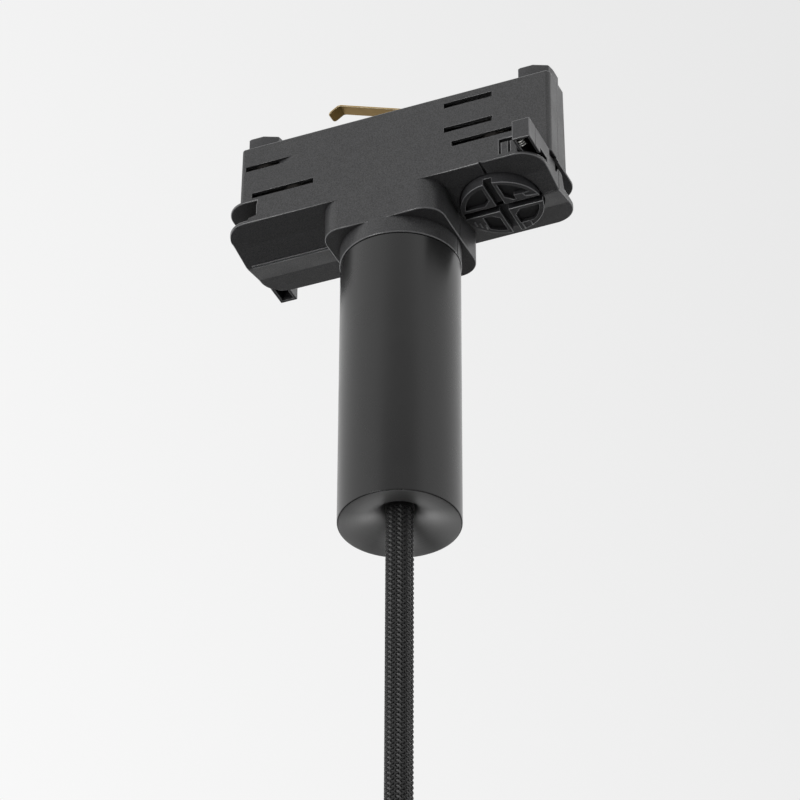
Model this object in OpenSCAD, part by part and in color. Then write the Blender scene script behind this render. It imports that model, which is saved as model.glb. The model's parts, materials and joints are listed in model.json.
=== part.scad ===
// Track light adapter with a tubular pendant cup and a textile cord.
// Frame: origin on the tube's axis in the plane of the track's mouth, just above the flange.
// +X runs along the track, +Z points up into it. All sizes are in millimetres.

/* [Blade] */
// overall length of the adapter along the track
adapter_l = 99; // [97:0.5:106]
// thickness of the blade that enters the track
blade_t = 12.6; // [12.4:0.1:13.4]
// height of the blade above the flange
blade_h = 28.6; // [28:0.1:31]
// wall of the moulded half shells
shell_wall = 1.2; // [1:0.1:1.3]
// length of the shallow lead-in at the blade's upright corners
blade_lead = 1.2; // [0.6:0.1:1.6]
// height of the contact slots
slot_h = 1.8; // [1.7:0.1:2.2]

/* [Flange] */
// width of the flange across the track
flange_w = 35; // [34:0.5:38]
// thickness of the flange's upper plate
plate_t = 0.6; // [0.6:0.1:0.8]
// height of the flange at its long edges
flange_h = 9.1; // [8.9:0.1:10]
// corner radius of the flange in plan
corner_r = 7.3; // [6:0.1:8]
// drop of the keel below the flange's long edges
keel_drop = 2.3; // [1.8:0.1:2.6]
// half width of the keel
keel_w = 8.4; // [7:0.1:9.5]

/* [Neck and tube] */
// outer diameter of the tube
tube_d = 35; // [34:0.5:37]
// length of the tube below the collar
tube_l = 88.5; // [80:0.5:120]
// wall of the tube
tube_wall = 1.3; // [1:0.1:1.5]
// height of the rounded neck under the flange
neck_h = 10.7; // [9.5:0.1:13]
// height of the round collar under the neck
ring_h = 5.7; // [4:0.1:8]
// corner radius of the neck
neck_r = 6.3; // [5:0.1:8]
// rise of the trumpet in the tube's lower end
funnel_rise = 4.6; // [3.6:0.1:6]
// diameter of the cord hole
hole_d = 10; // [9.6:0.1:12]

/* [Selector dial] */
// diameter of the selector dial
dial_d = 24.2; // [23:0.1:24.4]
// height of the dial
dial_h = 3.7; // [3.4:0.1:4.4]
// width of the cross grooves in the dial
groove_w = 2.6; // [2:0.1:2.8]
// diameter of the selector spindle
spindle_d = 4.4; // [4:0.1:4.6]

/* [Latches] */
// how far a latch handle stands out beside the flange
handle_out = 5; // [4.7:0.1:5.6]
// sideways travel of a latch
latch_travel = 4.4; // [3.6:0.1:4.5]
// height of a latch head
head_h = 5.2; // [4:0.1:6]

/* [Earth contact] */
// width of the earth leaf
earth_w = 4.4; // [3.6:0.1:5.2]
// height of the leaf's bend above the blade
earth_rise = 11; // [9:0.1:12]

/* [Cord] */
// diameter of the textile cord
cord_d = 8; // [7:0.1:8.6]

/* [Hidden] */

$fn = 64;
// cutting overlap
eps = 0.01;
// clearance between parts that slide past each other
slide_c = 0.3;
// radial running clearance of a spindle
run_c = 0.05;
// clearance of pieces that are pushed together
snug_c = 0.05;
// width of the parting line between the two half shells
seam = 0.1;

half_l = adapter_l / 2;
half_t = blade_t / 2;
half_w = flange_w / 2;

// upright levels of the flange, neck and tube
plate_top = -0.9;
shelf_z = plate_top - plate_t;
floor_z = -flange_h;
lip_t = 0.8;
channel_z = floor_z + lip_t;
deck_z = floor_z + 1.1;
keel_fall = 0.8;
keel_z = floor_z - keel_drop;
ridge_w = 0.8;
neck_z = floor_z - neck_h;
ring_z = neck_z - ring_h;
spigot_l = 12.5;
spigot_z = ring_z - spigot_l;
seat_gap = 0.2;
tube_top = ring_z - seat_gap;
tube_bot = ring_z - tube_l;
tube_r = tube_d / 2;
ring_r = tube_r + 0.25;
neck_l = tube_d + 2.2;
spigot_r = tube_r - tube_wall - slide_c;
wire_r = 6;
core_r = 1.1;
core_pitch = 2.2;

// end bays, seen on the +X end: the latch channel and the low rib outside it
rib_t = 0.6;
channel_x1 = half_l - rib_t;
slide_w = 4.8;
latch_x1 = channel_x1 - slide_c;
latch_x0 = latch_x1 - slide_w;
channel_x0 = latch_x0 - slide_c;
bay_inset = 11.1;
bay_x = half_l - bay_inset;
bay_y = 2;
rib_y0 = -9.2;
rib_z = floor_z + 2.6;
arch_rise = 2.3;

// latch: hollow handle block at the corner, narrower slide under the blade
right_handle_y = -half_w - handle_out;
left_handle_more = 1.3;
left_handle_y = right_handle_y - left_handle_more;
handle_wall = 0.9;
block_x1 = half_l - slide_c;
block_y1 = -6.6;
block_top = plate_top - slide_c;
block_cut_y = block_y1 + latch_travel + slide_c;
step_y = rib_y0 - latch_travel - slide_c;
score_w = 0.25;
score_in = 0.3;
post_t = 4;
post_y1 = -0.4;
post_y0 = post_y1 - post_t;
post_x1 = half_l - shell_wall - 0.4;
right_head_in = 5.75;
left_head_in = 6.3;
right_head_x = half_l - right_head_in;
left_head_x = half_l - left_head_in;
head_edge = 0.7;
head_l = 4.75;
head_w = 4.2;
head_z = blade_h + slide_c;

// inside of the blade
cavity_x = half_l - shell_wall;
cavity_y = half_t - shell_wall;
cavity_top = blade_h - shell_wall;

// dial and spindle
dial_inset = 17.6;
dial_x = half_l - dial_inset;
dial_r = dial_d / 2;
dial_gap = 0.3;
dial_top = floor_z - 0.1;
dial_bot = dial_top - dial_h;
seat_z = dial_top + dial_gap;
spindle_r = spindle_d / 2;
pivot_r = 1.5;
dial_rim = 1.4;
pocket_edge = groove_w / 2 + 1.1;
pocket_t = 1.2;
land_x = 5.2;
land_w = 2;
short_reach = 8.6;
spindle_top = cavity_top - slide_c;

// heights of the contact slots above the flange
upper_slot_z = blade_h - 3.5;
middle_slot_z = 0.558 * blade_h;
neutral_slot_z = 0.724 * blade_h;
lower_slot_z = 0.357 * blade_h;
// reach of the slots: of the swinging contacts before the spindle,
// and of the fixed ones from the spindle and from the end
swing_slot_x0 = 15.7;
swing_slot_x1 = 0.3;
swing_ramp = 1;
right_slot_x0 = 13.3;
right_slot_x1 = 6.7;
neutral_slot_x0 = 1.7;
neutral_slot_x1 = 16.9;
neutral_ramp = 4.9;
left_slot_x0 = 3.9;
left_slot_x1 = 23.9;

// shelves inside the blade that part the rows of contacts
web_t = 1.2;
right_web_x0 = 17.5;
right_web_x1 = 6;
web_gap = 0.6;
left_web_l = 21;

// contacts
contact_t = 0.8;
finger_l = 15;
finger_w = 2.4;
hub_r = spindle_r + 1.4;
leaf_t = 0.4;
leaf_h = 1.1;
// half widths of the bow of a leaf at its foot and at its crest
bow_foot = 3.2;
bow_crest = 1.4;
// reach of the leaves: from the spindle, and from the left end
right_leaf_x0 = 9;
right_leaf_x1 = 7;
left_leaf_x0 = 8;
left_leaf_x1 = 26;
neutral_leaf_x0 = 3;
neutral_leaf_x1 = 11.8;

// detent spring: half length, half length of its nose, thickness and width
detent_l = 9;
detent_nose = 3;
detent_t = 0.3;
detent_w = 3;
detent_z = 3;

// catch tongue in the front wall, measured from the right end
catch_in = 11.6;
catch_w = 2.85;
catch_slit = 0.45;
catch_gap = 1.2;

// earth leaf: root at the right, bend at the left
earth_t = 0.5;
earth_root_x = 8.6;
earth_bend_x = -19.7;
earth_tip_x = -22.8;
earth_tip_drop = 2.3;

// cord, and how far it starts above the tube's lower edge
cord_r = cord_d / 2;
cord_in = 4;
cord_top = tube_bot + cord_in;
// distance of each ring of the cord below its start
cord_drop = [0, 22, 44, 66, 88, 106];
cord_route = [for (d = cord_drop) [0, 0, cord_top - d]];
cord_end = cord_top - cord_drop[len(cord_drop) - 1];
cord_sides = 12;
fitting_r = cord_r + 3;
fitting_grip = 6;
fitting_l = 24;

// cord clamp inside the tube
clamp_disc_t = 2;
clamp_z1 = spigot_z - clamp_disc_t;
clamp_l = 14;
clamp_half = 10;
clamp_screw_x = 7;
clamp_screw_r = 1.5;
clamp_screw_l = 14;
clamp_head_r = 2.6;
clamp_head_t = 1.8;
clamp_saddle_t = 9;
clamp_bar_t = 6.5;
clamp_bar_inset = 2;

// rectangle with rounded corners, centred
module rounded_rect(l, w, r) {
    square([l - 2 * r, w], center = true);
    square([l, w - 2 * r], center = true);
    for (sx = [-1, 1], sy = [-1, 1]) {
        translate([sx * (l / 2 - r), sy * (w / 2 - r)]) circle(r = r);
    }
}

// flange outline with its front-right and rear-left corners left square for the latches
module upper_outline() {
    rounded_rect(adapter_l, flange_w, corner_r);
    for (s = [-1, 1]) {
        translate([s * (half_l - corner_r / 2), -s * (half_w - corner_r / 2)]) {
            square(corner_r, center = true);
        }
    }
}

// blade outline with a shallow lead-in at its corners
module blade_outline() {
    c = blade_lead;
    d = c / 4;
    polygon([
        [-half_l + c, -half_t], [half_l - c, -half_t], [half_l, -half_t + d], [half_l, half_t - d],
        [half_l - c, half_t], [-half_l + c, half_t], [-half_l, half_t - d], [-half_l, -half_t + d]]);
}

// block between the two plates, stepped at both ends for the latch bays
module core_outline() {
    polygon([
        [-bay_x, -half_w], [channel_x0, -half_w], [channel_x0, bay_y], [bay_x, bay_y],
        [bay_x, half_w], [-channel_x0, half_w], [-channel_x0, -bay_y], [-bay_x, -bay_y]]);
}

// cross-section of the lower plate with its shallow keel, in Y and Z
module keel_profile() {
    polygon([
        [-half_w, deck_z], [-half_w, floor_z], [-keel_w, floor_z - keel_fall], [-ridge_w, keel_z],
        [ridge_w, keel_z], [keel_w, floor_z - keel_fall], [half_w, floor_z], [half_w, deck_z]]);
}

// lower plate: the rounded outline cut from the keel section
module lower_plate() {
    intersection() {
        translate([0, 0, keel_z - 1]) linear_extrude(deck_z - keel_z + 1) {
            rounded_rect(adapter_l, flange_w, corner_r);
        }
        translate([-half_l, 0, 0]) rotate([90, 0, 90]) linear_extrude(adapter_l) keel_profile();
    }
}

// low rib on the end of the lower plate, rising to an arch beside the latch slide
module end_rib() {
    y1 = block_cut_y;
    translate([channel_x1, 0, 0]) rotate([90, 0, 90]) linear_extrude(rib_t) polygon([
        [rib_y0, deck_z - eps], [rib_y0, rib_z], [y1, rib_z], [y1 + 1.5, rib_z + arch_rise],
        [y1 + 4.5, rib_z + arch_rise - 0.1], [y1 + 6, deck_z - eps]]);
}

// foot of the front wall at the mouth of the other bay
module bay_foot() {
    translate([0, half_w, 0]) rotate([90, 0, 0]) linear_extrude(shell_wall) polygon([
        [bay_x - eps, shelf_z + eps], [bay_x + 0.3, shelf_z - 1.9], [bay_x + 0.35, deck_z + 1.2],
        [bay_x + 2.7, deck_z + 0.7], [bay_x + 2.9, deck_z - eps], [bay_x - eps, deck_z - eps]]);
}

// everything that both half shells are cut from
module shell_body() {
    difference() {
        union() {
            translate([0, 0, plate_top - eps]) linear_extrude(blade_h - plate_top + eps) blade_outline();
            translate([0, 0, shelf_z]) linear_extrude(plate_t) upper_outline();
            translate([0, 0, deck_z - eps]) linear_extrude(shelf_z - deck_z + 2 * eps) core_outline();
            lower_plate();
            for (a = [0, 180]) {
                rotate([0, 0, a]) end_rib();
                rotate([0, 0, a]) bay_foot();
            }
            translate([0, 0, neck_z]) linear_extrude(neck_h + 1) {
                rounded_rect(neck_l, flange_w, neck_r);
            }
            translate([0, 0, ring_z]) cylinder(r = ring_r, h = ring_h + eps);
            translate([0, 0, spigot_z]) cylinder(r = spigot_r, h = spigot_l + eps);
        }
        blade_hollow();
        for (a = [0, 180]) {
            rotate([0, 0, a]) latch_bay();
        }
        dial_seat();
        contact_slots();
        front_catch();
        index_notch();
        translate([0, 0, spigot_z - 1]) cylinder(r = wire_r, h = shelf_z - spigot_z + 2);
        translate([earth_root_x + 3, 0, cavity_top - 1]) cylinder(r = 1.1, h = shell_wall + 2);
    }
}

// hollow of the blade, open to the latch bays below and parted by two shelves
module blade_hollow() {
    right_z = (upper_slot_z + middle_slot_z - web_t) / 2;
    left_z = (neutral_slot_z + lower_slot_z - web_t) / 2;
    difference() {
        translate([-cavity_x, -cavity_y, shelf_z]) {
            cube([2 * cavity_x, 2 * cavity_y, cavity_top - shelf_z]);
        }
        difference() {
            translate([dial_x - right_web_x0, -half_t, right_z]) {
                cube([right_web_x0 + right_web_x1, blade_t, web_t]);
            }
            translate([dial_x, 0, right_z - 1]) cylinder(r = spindle_r + web_gap, h = web_t + 2);
        }
        translate([-latch_x0 + 2 * slide_c, -half_t, left_z]) cube([left_web_l, blade_t, web_t]);
    }
}

// channel for one latch, the corner its handle slides into, and the slot in the blade's top
module latch_bay() {
    translate([channel_x0, -half_w - 1, channel_z]) {
        cube([channel_x1 - channel_x0, half_w + 1 + post_y1 + latch_travel + slide_c, shelf_z - channel_z]);
        cube([half_l, half_w + 1 + rib_y0, plate_top - channel_z + eps]);
    }
    translate([channel_x0, -half_w - 1, rib_z]) {
        cube([half_l, half_w + 1 + block_cut_y, plate_top - rib_z + eps]);
    }
    translate([latch_x0 - slide_c, post_y0 - slide_c, cavity_top - 1]) {
        cube([post_x1 - latch_x0 + 2 * slide_c, post_t + latch_travel + 2 * slide_c, shell_wall + 2]);
    }
}

// recess, journal and top pivot of the selector
module dial_seat() {
    translate([dial_x, 0, dial_bot - 1]) cylinder(r = dial_r + dial_gap, h = seat_z - dial_bot + 1);
    translate([dial_x, 0, seat_z - 1]) cylinder(r = spindle_r + run_c, h = shelf_z - seat_z + 2);
    translate([dial_x, 0, cavity_top - 1]) cylinder(r = pivot_r + run_c, h = shell_wall + 2);
}

// one slot through both broad faces of the blade
module slot_pair(x0, x1, z) {
    translate([x0, -half_t - 1, z - slot_h / 2]) cube([x1 - x0, blade_t + 2, slot_h]);
}

// one slot through the front wall that runs out to the face at its right end
module ramped_slot(x0, x1, ramp, z) {
    y0 = -half_t - 1;
    y1 = -cavity_y + 0.5;
    translate([0, 0, z - slot_h / 2]) linear_extrude(slot_h) polygon([
        [x0, y0], [x1, y0], [x1, -half_t], [x1 - ramp, -cavity_y], [x1 - ramp, y1], [x0, y1]]);
}

// slots of the swinging and the fixed contacts
module contact_slots() {
    for (z = [upper_slot_z, middle_slot_z], m = [0, 1]) {
        mirror([0, m, 0]) ramped_slot(dial_x - swing_slot_x0, dial_x - swing_slot_x1, swing_ramp, z);
    }
    ramped_slot(-half_l + neutral_slot_x0, -half_l + neutral_slot_x1, neutral_ramp, neutral_slot_z);
    slot_pair(dial_x - right_slot_x0, dial_x + right_slot_x1, lower_slot_z);
    slot_pair(-half_l + left_slot_x0, -half_l + left_slot_x1, lower_slot_z);
}

// slit round three sides of the catch tongue in the front wall, beside the right latch
module front_catch() {
    x0 = half_l - catch_in;
    x1 = x0 + catch_w;
    top = shelf_z - 1;
    foot = channel_z + 0.6;
    depth = 2.6;
    for (x = [x0, x1]) {
        translate([x, -half_w - 1, foot]) cube([catch_slit, depth, top - foot]);
    }
    translate([x0, -half_w - 1, top - catch_gap]) cube([catch_w + catch_slit + 1.2, depth, catch_gap]);
}

// notch from the flange's front edge to the dial, which the dial is read against
module index_notch() {
    w = 0.8;
    translate([dial_x - w / 2, -half_w - 1, floor_z - 1]) cube([w, half_w + 1 - dial_r, 1.4]);
}

// one half of the shell, side -1 in front and 1 at the rear
module half_shell(side) {
    reach = half_w + 5;
    intersection() {
        shell_body();
        translate([-half_l - 1, side > 0 ? seam / 2 : -reach, spigot_z - 1]) {
            cube([adapter_l + 2, reach - seam / 2, blade_h - spigot_z + 2]);
        }
    }
}

module front_shell() {
    color([0.18, 0.18, 0.18]) half_shell(-1);
}

module rear_shell() {
    color([0.18, 0.18, 0.18]) half_shell(1);
}

// plan of a latch head, with two opposite corners cut away
module head_outline(s) {
    polygon([
        [-head_l * s, -head_w * s], [-0.2, -head_w * s], [head_l * s - 0.4, -head_w * s / 2],
        [head_l * s, 0], [head_l * s, head_w * s], [0.2, head_w * s],
        [-head_l * s + 0.4, head_w * s / 2], [-head_l * s, 0]]);
}

// sliding latch of the +X end: hollow handle block, slide, post through the blade, head on top
module latch(head_x, handle_y) {
    z0 = channel_z + slide_c;
    z1 = shelf_z - slide_c;
    w = block_x1 - latch_x0;
    l = block_y1 - handle_y;
    t = handle_wall;
    difference() {
        translate([latch_x0, handle_y, z0]) cube([w, l, block_top - z0]);
        translate([latch_x0 + t, handle_y + t, z0 - 1]) cube([w - 2 * t, l - 2 * t, block_top - z0 + 1 - t]);
        translate([block_x1 - t - eps, step_y, z0 - 1]) cube([t + 1, l, rib_z + slide_c - z0 + 1]);
        translate([block_x1 - score_w, -half_w - score_in, z0 - 1]) cube([1, score_w, block_top - z0 + 2]);
    }
    translate([latch_x0, block_y1 - eps, z0]) cube([slide_w, post_y1 - block_y1 + eps, z1 - z0]);
    translate([latch_x0, post_y0, z0]) cube([post_x1 - latch_x0, post_t, head_z - z0 + eps]);
    hull() {
        translate([head_x, 0, head_z]) linear_extrude(head_h - head_edge) head_outline(1);
        translate([head_x, 0, head_z]) linear_extrude(head_h) head_outline(0.9);
    }
}

module right_latch() {
    color([0.17, 0.17, 0.17]) latch(right_head_x, right_handle_y);
}

module left_latch() {
    color([0.17, 0.17, 0.17]) rotate([0, 0, 180]) latch(left_head_x, left_handle_y);
}

// one of the four pockets between the arms of the dial's cross, reaching as far as given
module dial_pocket(reach_x, reach_y) {
    e = pocket_edge;
    c = 2.1;
    intersection() {
        circle(r = dial_r - dial_rim);
        polygon([[e, e + c], [e + c, e], [reach_x, e], [reach_x, reach_y], [e, reach_y]]);
    }
}

// the pockets seen from below: one whole, three with a land for the position marks
module dial_pockets() {
    far = dial_r;
    mirror([1, 0]) mirror([0, 1]) dial_pocket(far, far);
    mirror([0, 1]) difference() {
        dial_pocket(far, far);
        translate([land_x, 0]) square([far, pocket_edge + land_w]);
    }
    dial_pocket(far, short_reach);
    mirror([1, 0]) dial_pocket(short_reach - 1.6, far);
}

module phase_dial() {
    color([0.15, 0.15, 0.15]) translate([dial_x, 0, 0]) difference() {
        translate([0, 0, dial_bot]) cylinder(r = dial_r, h = dial_h);
        for (a = [0, 90]) {
            rotate([0, 0, a]) translate([-dial_r - 1, -groove_w / 2, dial_bot - 1]) {
                cube([dial_d + 2, groove_w, 3]);
            }
        }
        translate([0, 0, dial_bot - 1]) linear_extrude(1 + pocket_t) dial_pockets();
    }
}

module selector_spindle() {
    color([0.75, 0.74, 0.7]) translate([dial_x, 0, 0]) {
        translate([0, 0, dial_top]) cylinder(r = spindle_r, h = spindle_top - dial_top);
        translate([0, 0, spindle_top - eps]) cylinder(r = pivot_r, h = blade_h - spindle_top);
    }
}

// contact finger that turns with the spindle, lying along the blade at rest
module phase_finger(z) {
    translate([dial_x, 0, z - contact_t / 2]) linear_extrude(contact_t) difference() {
        union() {
            circle(r = hub_r);
            translate([-finger_l + finger_w / 2, -finger_w / 2]) {
                square([finger_l - finger_w / 2, finger_w]);
            }
            translate([-finger_l + finger_w / 2, 0]) circle(r = finger_w / 2);
        }
        circle(r = spindle_r + snug_c);
    }
}

module upper_phase_contact() {
    color([0.72, 0.45, 0.2]) phase_finger(upper_slot_z);
}

module middle_phase_contact() {
    color([0.72, 0.45, 0.2]) phase_finger(middle_slot_z);
}

// bowed leaf behind a slot, its middle standing in the slot
module bowed_leaf(x0, x1, z) {
    y_in = -cavity_y + 0.2;
    y_out = -half_t + 0.3;
    m = (x0 + x1) / 2;
    f = bow_foot;
    c = bow_crest;
    t = leaf_t;
    translate([0, 0, z - leaf_h / 2]) linear_extrude(leaf_h) polygon([
        [x0, y_in], [m - f, y_in], [m - c, y_out], [m + c, y_out], [m + f, y_in], [x1, y_in],
        [x1, y_in + t], [m + f - t / 2, y_in + t], [m + c - t / 2, y_out + t],
        [m - c + t / 2, y_out + t], [m - f + t / 2, y_in + t], [x0, y_in + t]]);
}

module right_lower_contact() {
    color([0.72, 0.45, 0.2]) bowed_leaf(dial_x - right_leaf_x0, dial_x + right_leaf_x1, lower_slot_z);
}

module left_lower_contact() {
    color([0.72, 0.45, 0.2]) {
        bowed_leaf(-half_l + left_leaf_x0, -half_l + left_leaf_x1, lower_slot_z);
    }
}

module neutral_contact() {
    color([0.72, 0.45, 0.2]) {
        bowed_leaf(-half_l + neutral_leaf_x0, -half_l + neutral_leaf_x1, neutral_slot_z);
    }
}

// flat spring along the rear wall that rubs on the spindle
module detent_spring() {
    y0 = spindle_r + slide_c;
    y1 = cavity_y - 0.2;
    t = detent_t;
    l = detent_l;
    n = detent_nose;
    color([0.7, 0.7, 0.68]) translate([dial_x, 0, detent_z]) linear_extrude(detent_w) polygon([
        [-l, y1 - t], [-n, y0], [n, y0], [l, y1 - t], [l, y1], [l - t, y1],
        [n - t / 2, y0 + t], [-n + t / 2, y0 + t], [-l + t, y1], [-l, y1]]);
}

// sprung earth leaf: flat root on the blade, long ramp, bent-down tip
module earth_contact() {
    z0 = blade_h;
    z1 = blade_h + earth_rise;
    color([0.62, 0.5, 0.26]) difference() {
        translate([0, earth_w / 2, 0]) rotate([90, 0, 0]) linear_extrude(earth_w) polygon([
            [earth_root_x + 6, z0], [earth_root_x, z0], [earth_bend_x + 0.6, z1 - 0.3],
            [earth_bend_x, z1 - 0.3], [earth_tip_x, z1 - earth_tip_drop],
            [earth_tip_x - 0.3, z1 - earth_tip_drop + 0.4], [earth_bend_x - 0.2, z1 + earth_t - 0.3],
            [earth_bend_x + 0.8, z1 + earth_t - 0.3], [earth_root_x + 0.2, z0 + earth_t],
            [earth_root_x + 6, z0 + earth_t]]);
        translate([earth_root_x + 3, 0, z0 - 1]) cylinder(r = 1.1, h = 4);
    }
}

module earth_rivet() {
    color([0.62, 0.5, 0.26]) translate([earth_root_x + 3, 0, 0]) {
        translate([0, 0, cavity_top]) cylinder(r = 1.1 - snug_c, h = shell_wall + earth_t);
        translate([0, 0, blade_h + earth_t]) cylinder(r = 1.8, h = 0.6);
    }
}

// outer and inner line of the tube, with a trumpet at the bottom that steepens to the hole
module tube() {
    steps = 12;
    bell = 2.3;
    hole_r = hole_d / 2;
    run = tube_r - 0.4 - hole_r;
    funnel = [for (i = [0:steps]) [
        hole_r + run * i / steps, tube_bot + funnel_rise * pow(1 - i / steps, bell)]];
    inner = [for (i = [0:steps]) [
        tube_r - tube_wall - (tube_r - tube_wall - hole_r) * i / steps,
        tube_bot + tube_wall + funnel_rise * pow(i / steps, bell)]];
    color([0.11, 0.11, 0.11]) rotate_extrude($fn = 96) polygon(concat(
        funnel,
        [[tube_r, tube_bot + 0.3], [tube_r, tube_top], [tube_r - tube_wall, tube_top]],
        inner));
}

// clamp block below the spigot, with a half-round seat for the cord
module clamp_saddle() {
    color([0.3, 0.3, 0.3]) difference() {
        union() {
            translate([0, 0, clamp_z1]) cylinder(r = spigot_r - 1, h = clamp_disc_t);
            translate([-clamp_half, slide_c, clamp_z1 - clamp_l]) {
                cube([2 * clamp_half, clamp_saddle_t, clamp_l + eps]);
            }
        }
        translate([0, 0, clamp_z1 - clamp_l - 1]) {
            cylinder(r = cord_r + snug_c, h = clamp_l + clamp_disc_t + 2);
        }
        for (s = [-1, 1]) {
            translate([s * clamp_screw_x, -1, clamp_z1 - clamp_l / 2]) rotate([-90, 0, 0]) {
                cylinder(r = clamp_screw_r + snug_c, h = clamp_screw_l - clamp_bar_t + 2);
            }
        }
    }
}

module clamp_bar() {
    color([0.3, 0.3, 0.3]) difference() {
        translate([-clamp_half, -clamp_bar_t, clamp_z1 - clamp_l + clamp_bar_inset]) {
            cube([2 * clamp_half, clamp_bar_t - slide_c, clamp_l - 2 * clamp_bar_inset]);
        }
        translate([0, 0, clamp_z1 - clamp_l - 1]) cylinder(r = cord_r + snug_c, h = clamp_l + 2);
        for (s = [-1, 1]) {
            translate([s * clamp_screw_x, -clamp_bar_t - 1, clamp_z1 - clamp_l / 2]) rotate([-90, 0, 0]) {
                cylinder(r = clamp_screw_r + snug_c, h = clamp_bar_t + 2);
            }
        }
    }
}

module clamp_screws() {
    color([0.7, 0.7, 0.7]) for (s = [-1, 1]) {
        translate([s * clamp_screw_x, -clamp_bar_t, clamp_z1 - clamp_l / 2]) rotate([-90, 0, 0]) {
            cylinder(r = clamp_screw_r, h = clamp_screw_l);
            translate([0, 0, -clamp_head_t]) cylinder(r = clamp_head_r, h = clamp_head_t);
        }
    }
}

// insulated cores from the cord's end up to the blade
module supply_cores() {
    color([0.4, 0.3, 0.25]) for (a = [45:90:315]) {
        rotate([0, 0, a]) translate([core_pitch, 0, spigot_z]) {
            cylinder(r = core_r, h = shelf_z - spigot_z, $fn = 24);
        }
    }
}

module cord_tail() {
    color([0.06, 0.06, 0.06]) translate([0, 0, cord_top]) {
        cylinder(r = cord_r, h = clamp_z1 + clamp_disc_t - cord_top);
    }
}

// free cord: rings along the route joined to one closed tube
module cord() {
    n = cord_sides;
    rings = len(cord_route);
    points = [for (p = cord_route, i = [0:n - 1])
        p + [cord_r * cos(360 * i / n), cord_r * sin(360 * i / n), 0]];
    sides = [for (k = [0:rings - 2], i = [0:n - 1])
        [k * n + i, k * n + (i + 1) % n, (k + 1) * n + (i + 1) % n, (k + 1) * n + i]];
    caps = [[for (i = [0:n - 1]) n - 1 - i], [for (i = [0:n - 1]) (rings - 1) * n + i]];
    color([0.06, 0.06, 0.06]) polyhedron(points, concat(sides, caps));
}

// turned end fitting that holds the cord's lower end
module cord_fitting() {
    c = 1;
    z1 = cord_end + fitting_grip;
    z0 = z1 - fitting_l;
    color([0.11, 0.11, 0.11]) rotate_extrude() polygon([
        [0, z0], [fitting_r - c, z0], [fitting_r, z0 + c], [fitting_r, z1 - c], [fitting_r - c, z1],
        [cord_r + snug_c, z1], [cord_r + snug_c, cord_end], [0, cord_end]]);
}

front_shell();
rear_shell();
right_latch();
left_latch();
phase_dial();
selector_spindle();
upper_phase_contact();
middle_phase_contact();
right_lower_contact();
left_lower_contact();
neutral_contact();
detent_spring();
earth_contact();
earth_rivet();
tube();
clamp_saddle();
clamp_bar();
clamp_screws();
supply_cores();
cord_tail();
cord();
cord_fitting();
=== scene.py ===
"""Track light adapter on a tubular cup with a hanging textile cord.

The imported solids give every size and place. This script rounds their edges,
turns the tube, braids the cord, adds the raised marks and gives each piece its finish.
"""

from __future__ import annotations

import json
import logging
import math
from dataclasses import dataclass
from enum import Enum
from typing import Any, Callable, Iterable, Sequence

import bmesh
import bpy
from mathutils import Matrix, Vector

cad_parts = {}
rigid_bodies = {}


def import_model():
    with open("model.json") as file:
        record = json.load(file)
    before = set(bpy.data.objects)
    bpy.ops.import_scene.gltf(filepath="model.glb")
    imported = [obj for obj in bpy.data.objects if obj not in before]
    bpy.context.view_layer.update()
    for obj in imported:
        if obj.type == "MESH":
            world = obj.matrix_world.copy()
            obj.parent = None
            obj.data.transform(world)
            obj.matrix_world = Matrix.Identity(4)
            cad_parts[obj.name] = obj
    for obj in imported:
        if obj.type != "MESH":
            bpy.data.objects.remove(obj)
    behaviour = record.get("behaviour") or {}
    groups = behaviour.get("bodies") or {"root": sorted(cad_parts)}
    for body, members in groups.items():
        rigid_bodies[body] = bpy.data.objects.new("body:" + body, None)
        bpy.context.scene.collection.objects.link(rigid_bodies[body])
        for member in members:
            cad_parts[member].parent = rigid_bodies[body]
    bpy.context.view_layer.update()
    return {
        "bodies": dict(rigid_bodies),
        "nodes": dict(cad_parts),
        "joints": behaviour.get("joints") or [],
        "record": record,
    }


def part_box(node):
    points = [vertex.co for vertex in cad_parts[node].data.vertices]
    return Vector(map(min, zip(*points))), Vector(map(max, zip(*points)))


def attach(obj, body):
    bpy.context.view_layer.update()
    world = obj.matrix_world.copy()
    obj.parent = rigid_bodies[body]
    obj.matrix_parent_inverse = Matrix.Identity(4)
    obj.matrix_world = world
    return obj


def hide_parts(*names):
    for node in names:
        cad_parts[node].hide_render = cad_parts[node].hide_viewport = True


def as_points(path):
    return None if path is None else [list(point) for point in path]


LOG = logging.getLogger("track_adapter")
MM = 0.001

Tree = bpy.types.NodeTree
Socket = bpy.types.NodeSocket
BMesh = bmesh.types.BMesh
Edge = bmesh.types.BMEdge


class Body(Enum):
    """The rigid bodies of the part."""

    ADAPTER = "adapter"
    RIGHT_SLIDE = "right_slide"
    LEFT_SLIDE = "left_slide"
    SELECTOR = "selector"


class Coordinates(Enum):
    """Where a pattern takes its coordinates from."""

    OBJECT = "Object"
    UV = "UV"


def linear(colour: Socket | str) -> Any:
    """Turn an sRGB hex colour into linear RGBA. A socket stays as it is.

    Args:
        colour: A socket, or six hex digits after a hash sign.

    Returns:
        The socket, or linear red, green and blue with an alpha of one.
    """
    if not isinstance(colour, str):
        return colour
    parts = [int(colour[i : i + 2], 16) / 255 for i in (1, 3, 5)]
    values = [p / 12.92 if p <= 0.04045 else ((p + 0.055) / 1.055) ** 2.4 for p in parts]
    return (values[0], values[1], values[2], 1.0)


def per_metre(size_mm: float) -> float:
    """Give the texture scale at which one feature has the given size in millimetres."""
    return 1.0 / (size_mm * MM)


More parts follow.
